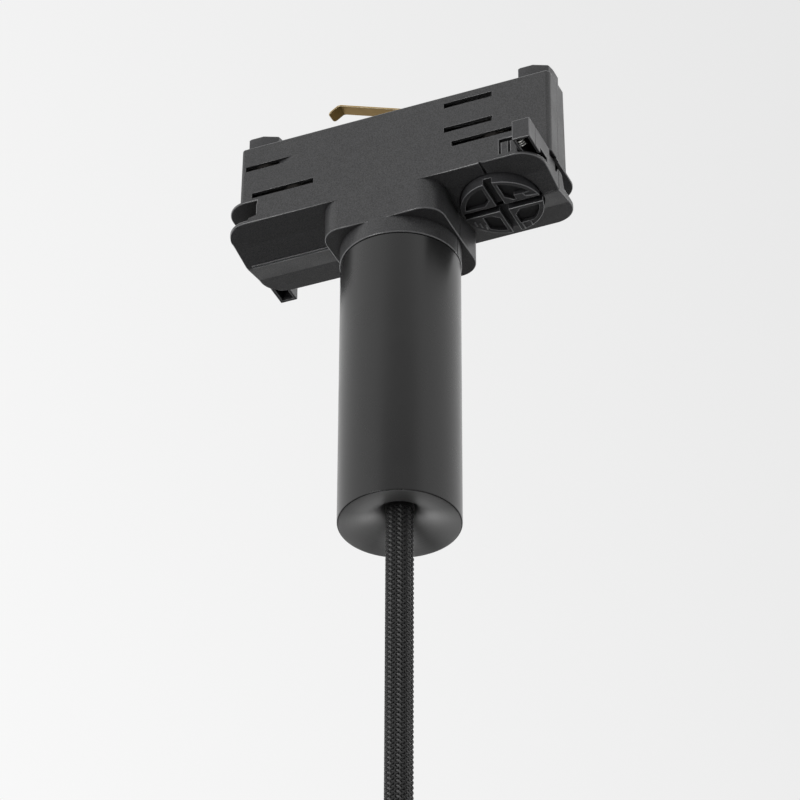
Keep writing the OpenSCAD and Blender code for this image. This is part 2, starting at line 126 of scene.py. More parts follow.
def add_node(
    tree: Tree,
    kind: str,
    settings: dict[str, Any] | None = None,
    inputs: dict[str | int, Any] | None = None,
) -> bpy.types.Node:
    """Add a node, set its properties and fill its sockets.

    Args:
        tree: Node tree that gets the node.
        kind: Blender's name of the shader node type, without its prefix.
        settings: Properties of the node.
        inputs: Socket name or index to a value or to the output socket it is linked to.

    Returns:
        The new node.
    """
    node = tree.nodes.new(f"ShaderNode{kind}")
    for name, value in (settings or {}).items():
        setattr(node, name, value)
    for name, value in (inputs or {}).items():
        if isinstance(value, bpy.types.NodeSocket):
            tree.links.new(value, node.inputs[name])
        else:
            node.inputs[name].default_value = value
    return node


def new_material(name: str) -> tuple[bpy.types.Material, Tree]:
    """Make an empty node material.

    Args:
        name: Name of the material.

    Returns:
        The material and its node tree.
    """
    material = bpy.data.materials.new(name)
    material.use_nodes = True
    material.node_tree.nodes.clear()
    return material, material.node_tree


def coordinates(tree: Tree, source: Coordinates = Coordinates.OBJECT) -> Socket:
    """Give the coordinates that a pattern lies on."""
    return add_node(tree, "TexCoord").outputs[source.value]


def noise(tree: Tree, place: Socket, size_mm: float, detail: float, roughness: float = 0.5) -> Socket:
    """Add a noise from zero to one, whose largest features have the given size."""
    inputs = {"Vector": place, "Scale": per_metre(size_mm), "Detail": detail, "Roughness": roughness}
    return add_node(tree, "TexNoise", inputs=inputs).outputs["Fac"]


def remap(
    tree: Tree,
    value: Socket,
    source: tuple[float, float] = (0.0, 1.0),
    target: tuple[float, float] = (0.0, 1.0),
    ease: str = "LINEAR",
) -> Socket:
    """Map a value from one range to another, held at the ends and eased as named."""
    inputs = dict(zip(("Value", "From Min", "From Max", "To Min", "To Max"), (value, *source, *target)))
    return add_node(tree, "MapRange", {"interpolation_type": ease}, inputs).outputs[0]


def mix_colour(
    tree: Tree, factor: Socket | float, first: Socket | str, second: Socket | str, blend: str = "MIX"
) -> Socket:
    """Blend two colours, hex or sockets, by the share of the second."""
    inputs = {"Factor": factor, 6: linear(first), 7: linear(second)}
    return add_node(tree, "Mix", {"data_type": "RGBA", "blend_type": blend}, inputs).outputs[2]


def mix_value(tree: Tree, factor: Socket | float, first: Socket | float, second: Socket | float) -> Socket:
    """Blend two values by the share of the second."""
    inputs = {"Factor": factor, "A": first, "B": second}
    return add_node(tree, "Mix", {"data_type": "FLOAT"}, inputs).outputs[0]


def calc(tree: Tree, operation: str, first: Socket | float, second: Socket | float) -> Socket:
    """Reckon with two values."""
    return add_node(tree, "Math", {"operation": operation}, {0: first, 1: second}).outputs[0]


def dot(tree: Tree, first: Socket, second: Sequence[float]) -> Socket:
    """Give how far a direction runs along a fixed one."""
    settings = {"operation": "DOT_PRODUCT"}
    return add_node(tree, "VectorMath", settings, {0: first, 1: second}).outputs["Value"]


def bump(tree: Tree, height: Socket, strength: float, depth_mm: float) -> Socket:
    """Tilt the surface by a pattern."""
    inputs = {"Height": height, "Strength": strength, "Distance": depth_mm * MM}
    return add_node(tree, "Bump", inputs=inputs).outputs[0]


def light_path(tree: Tree) -> tuple[Socket, Socket]:
    """Give the test for camera rays and the test for rays by way of a mirror or glass."""
    path = add_node(tree, "LightPath").outputs
    return path["Is Camera Ray"], calc(tree, "MAXIMUM", path["Is Glossy Ray"], path["Is Transmission Ray"])


def surface(tree: Tree, inputs: dict[str, Any]) -> None:
    """Add the surface shader with its sockets filled, and link it to the tree's output."""
    shader = add_node(tree, "BsdfPrincipled", inputs=inputs)
    add_node(tree, "OutputMaterial", inputs={"Surface": shader.outputs[0]})


@dataclass(frozen=True)
class MouldedPlastic:
    """Injection-moulded thermoplastic with a spark-eroded grain from its mould.

    The eye sees an even satin surface with a fine sparkle and a faint cloudiness
    where the melt flowed. Narrow hollows are darkened as painted shade, and the edge
    variants are slightly polished, their lighter colour a painted highlight.
    """

    name: str
    colour: str
    worn: str
    roughness: float = 0.43
    ior: float = 1.5
    # drawn coarser than the real grain of about 0.1 mm, which would not show at this distance
    grain_mm: float = 0.31
    grain_depth_mm: float = 0.045
    cloud_mm: float = 9.0
    # how far the painted shade in hollows reaches, and how dark it gets
    crevice_mm: float = 2.2
    crevice_shade_tone: float = 0.55

    def build(self) -> bpy.types.Material:
        """Make the material.

        Returns:
            The material.
        """
        material, tree = new_material(self.name)
        place = coordinates(tree)
        grain = noise(tree, place, self.grain_mm, 1.5, 0.6)
        cloud = noise(tree, place, self.cloud_mm, 2.0)
        tone = mix_colour(tree, remap(tree, grain, (0.32, 0.68)), self.colour, self.worn)
        # Painted shade: ambient occlusion darkens narrow hollows, standing for the shade that falls in them.
        hollow = add_node(tree, "AmbientOcclusion", {"samples": 8}, {"Distance": self.crevice_mm * MM})
        painted_crevice_shade = remap(tree, hollow.outputs["AO"], (0.3, 0.85), (self.crevice_shade_tone, 1.0))
        surface(tree, {
            "Base Color": mix_colour(tree, 1.0, tone, painted_crevice_shade, "MULTIPLY"),
            "Roughness": remap(tree, cloud, (0.3, 0.7), (self.roughness - 0.04, self.roughness + 0.05)),
            "Normal": bump(tree, grain, 0.6, self.grain_depth_mm),
            "IOR": self.ior,
        })
        return material


@dataclass(frozen=True)
class SatinCoat:
    """Powder-coated steel: a deep satin black with a barely visible orange peel."""

    name: str
    colour: str
    haze: str = "#252525"
    roughness: float = 0.28
    ior: float = 1.5
    peel_mm: float = 0.7
    peel_depth_mm: float = 0.01
    streak_mm: float = 14.0

    def build(self) -> bpy.types.Material:
        """Make the material.

        Returns:
            The material.
        """
        material, tree = new_material(self.name)
        place = coordinates(tree)
        peel = noise(tree, place, self.peel_mm, 2.0)
        haze = noise(tree, place, self.streak_mm, 3.0)
        surface(tree, {
            "Base Color": mix_colour(tree, haze, self.colour, self.haze),
            "Roughness": remap(tree, haze, (0.3, 0.7), (self.roughness - 0.03, self.roughness + 0.04)),
            "Normal": bump(tree, peel, 0.35, self.peel_depth_mm),
            "IOR": self.ior,
        })
        return material


@dataclass(frozen=True)
class TurnedMetal:
    """Turned metal under a thin black coat: fine rings that draw reflections out towards the axis, and soft
    patches of painted sheen.
    """

    name: str
    colour: str
    light: str
    roughness: float = 0.44
    # drawn coarser than the real tool marks of about 0.1 mm
    ring_mm: float = 0.35
    ring_share: float = 0.25
    stretch: float = 0.7
    sheen_ray_deg: tuple[float, float] = (184.0, 31.0)

    def build(self) -> bpy.types.Material:
        """Make the material, whose rings run round the Z axis.

        Returns:
            The material.
        """
        material, tree = new_material(self.name)
        place = coordinates(tree)
        around = add_node(
            tree, "VectorMath", {"operation": "CROSS_PRODUCT"}, {0: (0.0, 0.0, 1.0), 1: place}
        ).outputs[0]
        tangent = add_node(tree, "VectorMath", {"operation": "NORMALIZE"}, {0: around}).outputs[0]
        radius = add_node(tree, "VectorMath", {"operation": "LENGTH"}, {0: around})
        inputs = {"W": radius.outputs["Value"], "Scale": per_metre(self.ring_mm), "Detail": 2.0}
        rings = add_node(tree, "TexNoise", {"noise_dimensions": "1D"}, inputs)
        # Painted sheen: soft light patches that run out from the axis, standing for the wedge-shaped
        # highlights of turned rings.
        sheen_lobes = []
        for angle in map(math.radians, self.sheen_ray_deg):
            sheen_lobes.append(dot(tree, tangent, (-math.sin(angle), math.cos(angle), 0.0)))
        rays = remap(tree, calc(tree, "MAXIMUM", *sheen_lobes), (0.72, 1.0), ease="SMOOTHSTEP")
        bright = mix_value(tree, self.ring_share, rays, rings.outputs["Fac"])
        surface(tree, {
            "Base Color": mix_colour(tree, remap(tree, bright, (0.05, 0.85)), self.colour, self.light),
            "Metallic": 1.0,
            "Roughness": self.roughness,
            "Anisotropic": self.stretch,
            "Anisotropic Rotation": 0.25,
            "Tangent": tangent,
        })
        return material


@dataclass(frozen=True)
class RolledMetal:
    """Rolled and stamped strip: fine lengthwise lines and a dull tarnish in patches."""

    name: str
    colour: str
    tarnish: str
    roughness: float = 0.34
    # drawn coarser than the real rolling lines of about 0.05 mm
    line_mm: float = 0.25
    line_depth_mm: float = 0.01
    line_draw: tuple[float, float, float] = (0.04, 1.0, 0.25)
    patch_mm: float = 5.0

    def build(self) -> bpy.types.Material:
        """Make the material.

        Returns:
            The material.
        """
        material, tree = new_material(self.name)
        place = coordinates(tree)
        along = add_node(tree, "Mapping", inputs={"Vector": place, "Scale": self.line_draw})
        lines = noise(tree, along.outputs[0], self.line_mm, 3.0)
        patch = noise(tree, place, self.patch_mm, 4.0)
        surface(tree, {
            "Base Color": mix_colour(tree, patch, self.colour, self.tarnish),
            "Metallic": 1.0,
            "Roughness": remap(tree, lines, target=(self.roughness - 0.08, self.roughness + 0.12)),
            "Normal": bump(tree, lines, 0.25, self.line_depth_mm),
        })
        return material


@dataclass(frozen=True)
class BraidYarn:
    """Dyed polyester yarn, braided: fine parallel filaments with a soft sheen along each strand."""

    name: str
    colour: str
    light: str
    # drawn coarser than the real filaments of about 0.03 mm
    filament_mm: float = 0.16
    filament_depth_mm: float = 0.05
    filament_draw: tuple[float, float, float] = (0.08, 1.0, 1.0)
    roughness: float = 0.62

    def build(self) -> bpy.types.Material:
        """Make the material.

        Returns:
            The material.
        """
        material, tree = new_material(self.name)
        place = coordinates(tree, Coordinates.UV)
        along = add_node(tree, "Mapping", inputs={"Vector": place, "Scale": self.filament_draw})
        fibre = noise(tree, along.outputs[0], self.filament_mm, 2.0)
        surface(tree, {
            "Base Color": mix_colour(tree, fibre, self.colour, self.light),
            "Roughness": self.roughness,
            "Normal": bump(tree, fibre, 0.6, self.filament_depth_mm),
            "Sheen Weight": 0.25,
            "Sheen Roughness": 0.4,
            "IOR": 1.5,
        })
        return material


@dataclass(frozen=True)
class StudioPaper:
    """Matt pale paper of the studio floor, as bright as the backdrop to the camera and in mirrors."""

    name: str
    colour: str
    light: str
    glow: float = 0.58
    mottle_mm: float = 25.0

    def build(self) -> bpy.types.Material:
        """Make the material.

        Returns:
            The material.
        """
        material, tree = new_material(self.name)
        mottle = noise(tree, coordinates(tree), self.mottle_mm, 2.0)
        seen = calc(tree, "MAXIMUM", *light_path(tree))
        surface(tree, {
            "Base Color": mix_colour(tree, mottle, self.colour, self.light),
            "Roughness": 0.9,
            "Emission Color": linear("#ffffff"),
            "Emission Strength": calc(tree, "MULTIPLY", seen, self.glow),
        })
        return material


class Palette:
    """Every finish of the part."""

    # what a mould does to the edges of its plastic
    polished = {"ior": 1.8, "grain_depth_mm": 0.004}
    # black polyamide of the housing, its polished edges painted lighter as a highlight, and the parting line
    # painted dark as shade
    shell = MouldedPlastic("moulded_shell_black", "#232324", "#49494a")
    shell_edge_highlight = MouldedPlastic("moulded_shell_painted_highlight", "#5a5a5b", "#68686a", roughness=0.25, **polished)
    shell_seam_shade = MouldedPlastic("moulded_shell_seam_painted_shade", "#101011", "#18181a", roughness=0.6)
    # the latches and the dial, moulded smoother than the housing; their edges painted lighter as a
    # highlight, the dial's hollow floors painted dark as shade
    latch = MouldedPlastic("moulded_latch_black", "#2b2b2c", "#404042", roughness=0.4, crevice_shade_tone=0.9)
    latch_edge_highlight = MouldedPlastic("moulded_latch_painted_highlight", "#5a5a5b", "#68686a", roughness=0.24, **polished)
    dial = MouldedPlastic("moulded_dial_black", "#2a2a2b", "#3e3e40", roughness=0.42)
    dial_edge_highlight = MouldedPlastic("moulded_dial_painted_highlight", "#68686a", "#78787a", roughness=0.24, **polished)
    dial_hollow_shade = MouldedPlastic("moulded_dial_hollow_painted_shade", "#121213", "#222224", roughness=0.5)
    # undyed spindle, grey clamp and brown insulation inside the housing
    spindle = MouldedPlastic("moulded_spindle_natural", "#c9c2b0", "#d8d2c4", roughness=0.5)
    clamp = MouldedPlastic("moulded_clamp_grey", "#4d4d4d", "#5a5a5a")
    insulation = MouldedPlastic("extruded_core_brown", "#5a4230", "#6a5040", roughness=0.45)
    # coated steel outside, turned and thinly coated in the mouth
    tube = SatinCoat("satin_coat_tube", "#1a1a1a")
    trumpet = TurnedMetal("turned_coat_trumpet", "#868686", "#b2b2b2")
    fitting = SatinCoat("satin_coat_fitting", "#171717", roughness=0.32)
    # stamped brass with edges painted pale as a highlight, tin-coated copper painted dark as the shade
    # inside the slots, and bright spring steel
    brass = RolledMetal("rolled_brass_leaf", "#a88a54", "#8a703c", roughness=0.4)
    brass_edge_highlight = RolledMetal("stamped_brass_painted_highlight", "#e6dcc4", "#d2c4a0", roughness=0.3)
    tinned_shaded = RolledMetal("tinned_copper_painted_shade", "#2c2a28", "#232120", roughness=0.65)
    steel = RolledMetal("rolled_spring_steel", "#dcdcd8", "#bcbcb8")
    # black yarn, and lighter yarn on every second column of stitches, a painted glint
    yarn = BraidYarn("braided_yarn_black", "#141414", "#2a2a2a")
    glint_yarn = BraidYarn("braided_yarn_painted_glint", "#343434", "#686868", roughness=0.45)


class Workshop:
    """Materials that are made once, and the frame they are used on."""

    def __init__(self, frame: dict[str, Any]) -> None:
        """Keep the loaded frame."""
        self.frame = frame
        self.made: dict[str, bpy.types.Material] = {}

    def material(self, finish: Any) -> bpy.types.Material:
        """Give the material of a finish, made on first use.

        Args:
            finish: Finish to look up.

        Returns:
            Its material.
        """
        if finish.name not in self.made:
            self.made[finish.name] = finish.build()
        return self.made[finish.name]

    def node(self, name: str) -> bpy.types.Object:
        """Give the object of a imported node."""
        return self.frame["nodes"][name]

    def dress(self, finish: Any, *names: str) -> None:
        """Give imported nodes, which keep their own shapes, a finish.

        Args:
            finish: Finish that they get.
            *names: Names of the nodes.
        """
        for name in names:
            mesh = self.node(name).data
            mesh.materials.clear()
            mesh.materials.append(self.material(finish))
        LOG.info("dressed %s with %s", ", ".join(names), finish.name)

    def place(
        self,
        mesh_source: BMesh,
        name: str,
        finish: Any,
        body: Body,
        slot: str,
        replaced: Sequence[str] = (),
        others: Sequence[Any] = (),
    ) -> bpy.types.Object:
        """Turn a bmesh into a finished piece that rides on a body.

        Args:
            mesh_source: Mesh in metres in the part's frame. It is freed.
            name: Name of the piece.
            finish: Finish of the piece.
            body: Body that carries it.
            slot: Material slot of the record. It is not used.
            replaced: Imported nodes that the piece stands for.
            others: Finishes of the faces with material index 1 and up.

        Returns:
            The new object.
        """
        mesh = bpy.data.meshes.new(name)
        mesh_source.to_mesh(mesh)
        mesh_source.free()
        mesh.materials.append(self.material(finish))
        for other in others:
            mesh.materials.append(self.material(other))
        piece = bpy.data.objects.new(name, mesh)
        bpy.context.scene.collection.objects.link(piece)
        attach(piece, body.value)
        if replaced:
            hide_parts(*replaced)
        LOG.info("made %s with %d faces", name, len(mesh.polygons))
        return piece


def face_width(face: bmesh.types.BMFace) -> float:
    """Give about how wide a face is across its narrow side, in metres."""
    return 2 * face.calc_area() / max(face.calc_perimeter(), 1e-9)


def soften(bm: BMesh, sharp_deg: float = 46.0, flat_mm: float = 2.0) -> None:
    """Shade a mesh smooth, with hard edges where faces meet at a large angle or broad flat walls meet.

    Args:
        bm: Mesh to shade.
        sharp_deg: Angle from which an edge stays hard.
        flat_mm: Width from which a face counts as a flat wall.
    """
    limit, least = math.radians(sharp_deg), math.radians(3.0)
    for face in bm.faces:
        face.smooth = True
    for edge in bm.edges:
        angle = edge.calc_face_angle(0.0)
        flat = all(face_width(face) > flat_mm * MM for face in edge.link_faces)
        edge.smooth = angle < (least if flat else limit)


def solid_copy(source: bpy.types.Object) -> BMesh:
    """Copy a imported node's mesh with its loose triangles merged into flat faces.

    Args:
        source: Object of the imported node.

    Returns:
        The merged mesh.
    """
    bm = bmesh.new()
    bm.from_mesh(source.data)
    bmesh.ops.remove_doubles(bm, verts=bm.verts, dist=0.002 * MM)
    bmesh.ops.dissolve_degenerate(bm, edges=bm.edges, dist=0.002 * MM)
    bmesh.ops.dissolve_limit(bm, angle_limit=math.radians(0.4), verts=bm.verts, edges=bm.edges)
    for layer in list(bm.loops.layers.uv.values()):
        bm.loops.layers.uv.remove(layer)
    return bm


def round_off(
    bm: BMesh, edges: Sequence[Edge], radius_mm: float, segments: int, material: int = -1, clamp: bool = True
) -> None:
    """Round edges, or chamfer them with a single segment.

    Args:
        bm: Mesh of the piece.
        edges: Edges to round.
        radius_mm: Width of the rounding on each side.
        segments: Number of faces across it.
        material: Material index of the new faces, or -1 for that of their neighbours.
        clamp: Whether roundings that meet are kept apart.
    """
    shape = {"offset": radius_mm * MM, "segments": segments, "profile": 0.5, "clamp_overlap": clamp}
    bmesh.ops.bevel(bm, geom=edges, affect="EDGES", material=material, **shape)


def rod(bm: BMesh, radius_mm: float, length_mm: float, place: Matrix, segments: int) -> None:
    """Add a closed round rod that is centred on a place, along its Z axis."""
    shape = {"radius1": radius_mm * MM, "radius2": radius_mm * MM, "depth": length_mm * MM}
    bmesh.ops.create_cone(bm, cap_ends=True, segments=segments, matrix=place, **shape)


def closed_line(bm: BMesh, points: Iterable[Sequence[float]]) -> list[Any]:
    """Draw a closed line through points and give its vertices and edges."""
    verts = [bm.verts.new(point) for point in points]
    return verts + [bm.edges.new(pair) for pair in zip(verts, verts[1:] + verts[:1])]


def edge_chains(edges: Sequence[Edge], bend_deg: float = 35.0) -> list[list[Edge]]:
    """Sort edges into chains that run on without a sharp bend.

    Args:
        edges: Edges to sort.
        bend_deg: Smallest bend that ends a chain.

    Returns:
        The chains.
    """
    limit = math.cos(math.radians(bend_deg))
    open_edges = set(edges)
    chains = []
    while open_edges:
        chain = [open_edges.pop()]
        for edge in chain:
            for vert in edge.verts:
                away = (edge.other_vert(vert).co - vert.co).normalized()
                for other in vert.link_edges:
                    if other in open_edges:
                        onward = (other.other_vert(vert).co - vert.co).normalized()
                        if -away.dot(onward) > limit:
                            open_edges.discard(other)
                            chain.append(other)
        chains.append(chain)
    return chains


@dataclass(frozen=True)
class EdgeRound:
    """How the outer edges of a moulding are rounded, in millimetres."""

    full: float
    fine: float = 0.08
    thin_face: float = 1.0
    from_deg: float = 32.0
    segments: int = 3

    def mark(
        self,
        bm: BMesh,
        is_fine: Callable[[Edge], bool] = lambda edge: False,
        is_sharp: Callable[[Edge], bool] = lambda edge: False,
    ) -> None:
        """Write on each outer edge how far it is rounded, the same along a whole run of edges.

        Args:
            bm: Closed mesh of the piece.
            is_fine: Tells the edges that stay nearly sharp.
            is_sharp: Tells the edges that aren't rounded at all.
        """
        limit = math.radians(self.from_deg)
        thin = self.thin_face * MM
        weight = bm.edges.layers.float.new("bevel_weight_edge")
        sharp = [e for e in bm.edges if e.is_manifold and e.is_convex and e.calc_face_angle(0.0) > limit]
        for chain in edge_chains(sharp):
            narrow = all(min(face_width(f) for f in e.link_faces) < thin for e in chain)
            share = self.fine / self.full if narrow or any(map(is_fine, chain)) else 1.0
            for edge in chain:
                edge[weight] = 0.0 if is_sharp(edge) else share

    def finish(self, piece: bpy.types.Object) -> None:
        """Round the marked edges. The new faces take the piece's second finish.

        Args:
            piece: Object whose mesh was marked.
        """
        modifier = piece.modifiers.new("rounded_edges", "BEVEL")
        modifier.limit_method = "WEIGHT"
        modifier.width = self.full * MM
        modifier.segments = self.segments
        modifier.material = 1
        modifier.use_clamp_overlap = False
        flat_walls = piece.modifiers.new("flat_walls", "WEIGHTED_NORMAL")
        flat_walls.weight = 90
        flat_walls.keep_sharp = True


@dataclass
class MouldedShells:
    """The two half shells, with the roundings of their mould. Lengths are in millimetres."""

    shop: Workshop
    edges: EdgeRound = EdgeRound(0.3)
    half_t: float = 6.3
    half_l: float = 49.5
    blade_top: float = 28.6
    seam_from: float = 17.5
    seam_w: float = 0.42
    corner_r: float = 1.2
    corner_y: float = 6.0
    flange_top: float = -0.9
    # how near an edge lies to the parting line, a face or a rim to count as on it
    seam_reach: float = 0.6
    face_reach: float = 0.35
    end_rim: float = 1.4
    top_rim: float = 0.3
    foot: float = 0.5
    # the latch's way through the end wall, and the bores in the top
    way_depth: float = 1.0
    way_half: float = 3.5
    way_low: float = -5.0
    way_gap: float = 0.2
    bore_half: float = 2.0
    names: tuple[str, str] = ("front_shell", "rear_shell")

    def is_fine(self, edge: Edge) -> bool:
        """Tell whether an edge lies on the parting line or round a slot in the blade.

        Args:
            edge: Edge of a shell.

        Returns:
            True if it stays nearly sharp.
        """
        x, y, z = (edge.verts[0].co + edge.verts[1].co) / 2 / MM
        if all(abs(v.co.y) < self.seam_reach * MM for v in edge.verts):
            return True
        on_face = abs(abs(y) - self.half_t) < self.face_reach
        rim = self.half_l - abs(x) < self.end_rim or self.blade_top - z < self.top_rim
        return z > self.foot and on_face and not rim

    def is_sharp(self, edge: Edge) -> bool:
        """Tell whether an edge lies on the flange's top, in a latch's way or round a bore.

        Args:
            edge: Edge of a shell.

        Returns:
            True if it isn't rounded at all.
        """
        x, y, z = (edge.verts[0].co + edge.verts[1].co) / 2 / MM
        if self.blade_top - z < 0.05 and abs(y) < self.bore_half:
            return True
        at_end = abs(x) > self.half_l - self.way_depth and abs(y) < self.way_half
        if at_end and self.way_low < z < self.flange_top - self.way_gap:
            return True
        on_top = all(abs(v.co.z / MM - self.flange_top) < 0.1 for v in edge.verts)
        return on_top and abs(edge.verts[0].co.y) > (self.half_t + self.foot) * MM

    def round_ends(self, bm: BMesh) -> None:
        """Round the upright corners of the blade.

        Args:
            bm: Mesh of one shell.
        """
        edges = []
        for edge in bm.edges:
            a, b = (v.co / MM for v in edge.verts)
            upright = abs(a.x - b.x) < 0.01 and abs(a.y - b.y) < 0.01
            corner = abs(abs(a.x) - self.half_l) < 0.05 and abs(abs(a.y) - self.corner_y) < 0.05
            if upright and corner and min(a.z, b.z) > self.flange_top - 0.1:
                edges.append(edge)
        round_off(bm, edges, self.corner_r, segments=5)

    def open_seam(self, bm: BMesh) -> None:
        """Chamfer the upright parting line of the outer walls, whose faces take a dark finish, painted
        shade, so that it shows as a dark line.

        Args:
            bm: Mesh of one shell.
        """
        edges = []
        for edge in bm.edges:
            x = (edge.verts[0].co.x + edge.verts[1].co.x) / 2
            on_seam = all(abs(v.co.y) < 0.1 * MM for v in edge.verts) and abs(x) > self.seam_from * MM
            if on_seam and any(f.normal.x * math.copysign(1.0, x) > 0.7 for f in edge.link_faces):
                edges.append(edge)
        round_off(bm, edges, self.seam_w, segments=1, material=2)

    def build(self) -> None:
        """Make both shells."""
        for name in self.names:
            bm = solid_copy(self.shop.node(name))
            self.round_ends(bm)
            self.open_seam(bm)
            soften(bm)
            self.edges.mark(bm, self.is_fine, self.is_sharp)
            # Level faces with notches are split, so that none covers an opening once edges are rounded.
            level = [face for face in bm.faces if abs(face.normal.z) > 0.9]
            bmesh.ops.connect_verts_concave(bm, faces=level)
            # Rounded edges take a lighter finish, a painted highlight; the parting line a dark one, painted
            # shade.
            others = [Palette.shell_edge_highlight, Palette.shell_seam_shade]
            piece = self.shop.place(
                bm, f"{name}_moulding", Palette.shell, Body.ADAPTER, "shell_plastic", [name], others
            )
            self.edges.finish(piece)


@dataclass
class Latches:
    """The two sliding latches. Lengths are in millimetres."""

    shop: Workshop
    edges: EdgeRound = EdgeRound(0.26)
    blade_top: float = 28.6
    head_gap: float = 0.03
    riders: tuple[tuple[str, Body], ...] = (
        ("right_latch", Body.RIGHT_SLIDE),
        ("left_latch", Body.LEFT_SLIDE),
    )

    def clear_head(self, bm: BMesh) -> None:
        """Lift the underside of the head a hair, so that it slides free on the blade.

        Args:
            bm: Mesh of a latch.
        """
        for vert in bm.verts:
            if abs(vert.co.z - self.blade_top * MM) < 0.01 * MM:
                vert.co.z += self.head_gap * MM

    def build(self) -> None:
        """Make both latches."""
        for name, body in self.riders:
            bm = solid_copy(self.shop.node(name))
            self.clear_head(bm)
            soften(bm, flat_mm=50.0)
            self.edges.mark(bm)
            # Rounded edges take a lighter finish, a painted highlight.
            piece = self.shop.place(
                bm, f"{name}_moulding", Palette.latch, body, "latch_plastic", [name], [Palette.latch_edge_highlight]
            )
            self.edges.finish(piece)


@dataclass
class Selector:
    """The dial, its spindle and the swinging contacts. Lengths are in millimetres."""

    shop: Workshop
    edges: EdgeRound = EdgeRound(0.2, thin_face=0.5)
    hollow_from: float = 0.6

    def build(self) -> None:
        """Make the dial and dress what turns with it."""
        bm = solid_copy(self.shop.node("phase_dial"))
        soften(bm)
        # Painted shade: the floors of the dial's hollows take a dark finish.
        floor_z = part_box("phase_dial")[0].z + self.hollow_from * MM
        for face in bm.faces:
            if face.normal.z < -0.9 and face.calc_center_median().z > floor_z:
                face.material_index = 2
        self.edges.mark(bm)
        # Rounded edges take a lighter finish as painted highlight, the hollow floors a dark one as painted
        # shade.
        others = [Palette.dial_edge_highlight, Palette.dial_hollow_shade]
        piece = self.shop.place(
            bm, "phase_dial_moulding", Palette.dial, Body.SELECTOR, "dial_plastic", ["phase_dial"], others
        )
        self.edges.finish(piece)
        self.shop.dress(Palette.spindle, "selector_spindle")
        self.shop.dress(Palette.tinned_shaded, "upper_phase_contact", "middle_phase_contact")


@dataclass
class RaisedMarks:
    """Position strokes on the dial and the beads along the keel. Lengths are in millimetres."""

    shop: Workshop
    dial_x: float = 31.9
    stroke_w: float = 0.42
    stroke_h: float = 0.3
    stroke_r: float = 0.12
    # each stroke from one end to the other, measured from the dial's centre
    strokes: tuple[tuple[float, float, float, float], ...] = (
        (8.3, -2.9, 11.4, -2.5),
        (8.3, -2.9, 8.1, -4.2),
        (2.8, 9.2, 2.8, 11.3),
        (5.4, 8.9, 5.3, 10.4),
        (-9.9, 3.2, -9.9, 5.0),
        (-8.7, 4.4, -8.7, 6.2),
        (-7.5, 5.6, -7.5, 7.4),
    )
    bead_r: float = 0.15
    bead_y: float = 0.5
    keel_z: float = -11.4
    bead_run: tuple[float, float] = (-47.6, -18.4)

    def stroke(self, bm: BMesh, ends: tuple[float, float, float, float], face_z: float) -> None:
        """Add one raised stroke with rounded edges.

        Args:
            bm: Mesh that gets it.
            ends: Both ends of its centre line.
            face_z: Height of the face that it stands on.
        """
        start, end = Vector((*ends[:2], 0.0)), Vector((*ends[2:], 0.0))
        run = end - start
        turn = Matrix.Rotation(math.atan2(run.y, run.x), 4, "Z")
        size = Matrix.Diagonal((run.length + self.stroke_w, self.stroke_w, 2 * self.stroke_h, 1.0))
        middle = (start + end) / 2 + Vector((self.dial_x, 0.0, face_z / MM))
        made = bmesh.ops.create_cube(bm, size=MM, matrix=Matrix.Translation(middle * MM) @ turn @ size)
        edges = {edge for vert in made["verts"] for edge in vert.link_edges}
        round_off(bm, list(edges), self.stroke_r, segments=2, clamp=False)

    def build(self) -> None:
        """Add the strokes and the beads."""
        low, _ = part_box("phase_dial")
        bm = bmesh.new()
        for ends in self.strokes:
            self.stroke(bm, ends, low.z)
        soften(bm)
        # The strokes take the dial's lighter edge finish, a painted highlight.
        self.shop.place(bm, "dial_position_marks", Palette.dial_edge_highlight, Body.SELECTOR, "dial_plastic")
        bm = bmesh.new()
        upright = Matrix.Rotation(math.radians(90), 4, "Y")
        x0, x1 = self.bead_run
        for side in (-1, 1):
            middle = Vector(((x0 + x1) / 2, side * self.bead_y, self.keel_z)) * MM
            rod(bm, self.bead_r, x1 - x0, Matrix.Translation(middle) @ upright, segments=12)
        soften(bm)
        # The beads take the housing's lighter edge finish, a painted highlight.
        self.shop.place(bm, "keel_beads", Palette.shell_edge_highlight, Body.ADAPTER, "shell_plastic")


@dataclass
class ReturnSpring:
    """The wire coil in the hollow of the right latch. Lengths are in millimetres."""

    shop: Workshop
    wire_r: float = 0.2
    coil_r: float = 0.95
    pitch: float = 0.95
    turns: int = 3
    steps_per_turn: int = 28
    start: tuple[float, float, float] = (45.65, -20.9, -7.05)

    def build(self) -> None:
        """Wind the coil along the latch's way."""
        bm = bmesh.new()
        out = Matrix.Translation((self.coil_r * MM, 0.0, 0.0))
        bmesh.ops.create_circle(bm, cap_ends=False, segments=8, radius=self.wire_r * MM, matrix=out)
        steps = self.turns * self.steps_per_turn
        bmesh.ops.spin(
            bm,
            geom=list(bm.verts) + list(bm.edges),
            cent=(0, 0, 0),
            axis=(0, 1, 0),
            dvec=(0.0, self.pitch * self.turns * MM / steps, 0.0),
            angle=math.tau * self.turns,
            steps=steps,
            use_merge=False,
        )
        bmesh.ops.holes_fill(bm, edges=[edge for edge in bm.edges if edge.is_boundary])
        bmesh.ops.recalc_face_normals(bm, faces=bm.faces)
        bmesh.ops.translate(bm, verts=bm.verts, vec=Vector(self.start) * MM)
        soften(bm)
        self.shop.place(bm, "latch_return_spring", Palette.steel, Body.RIGHT_SLIDE, "spring_steel")


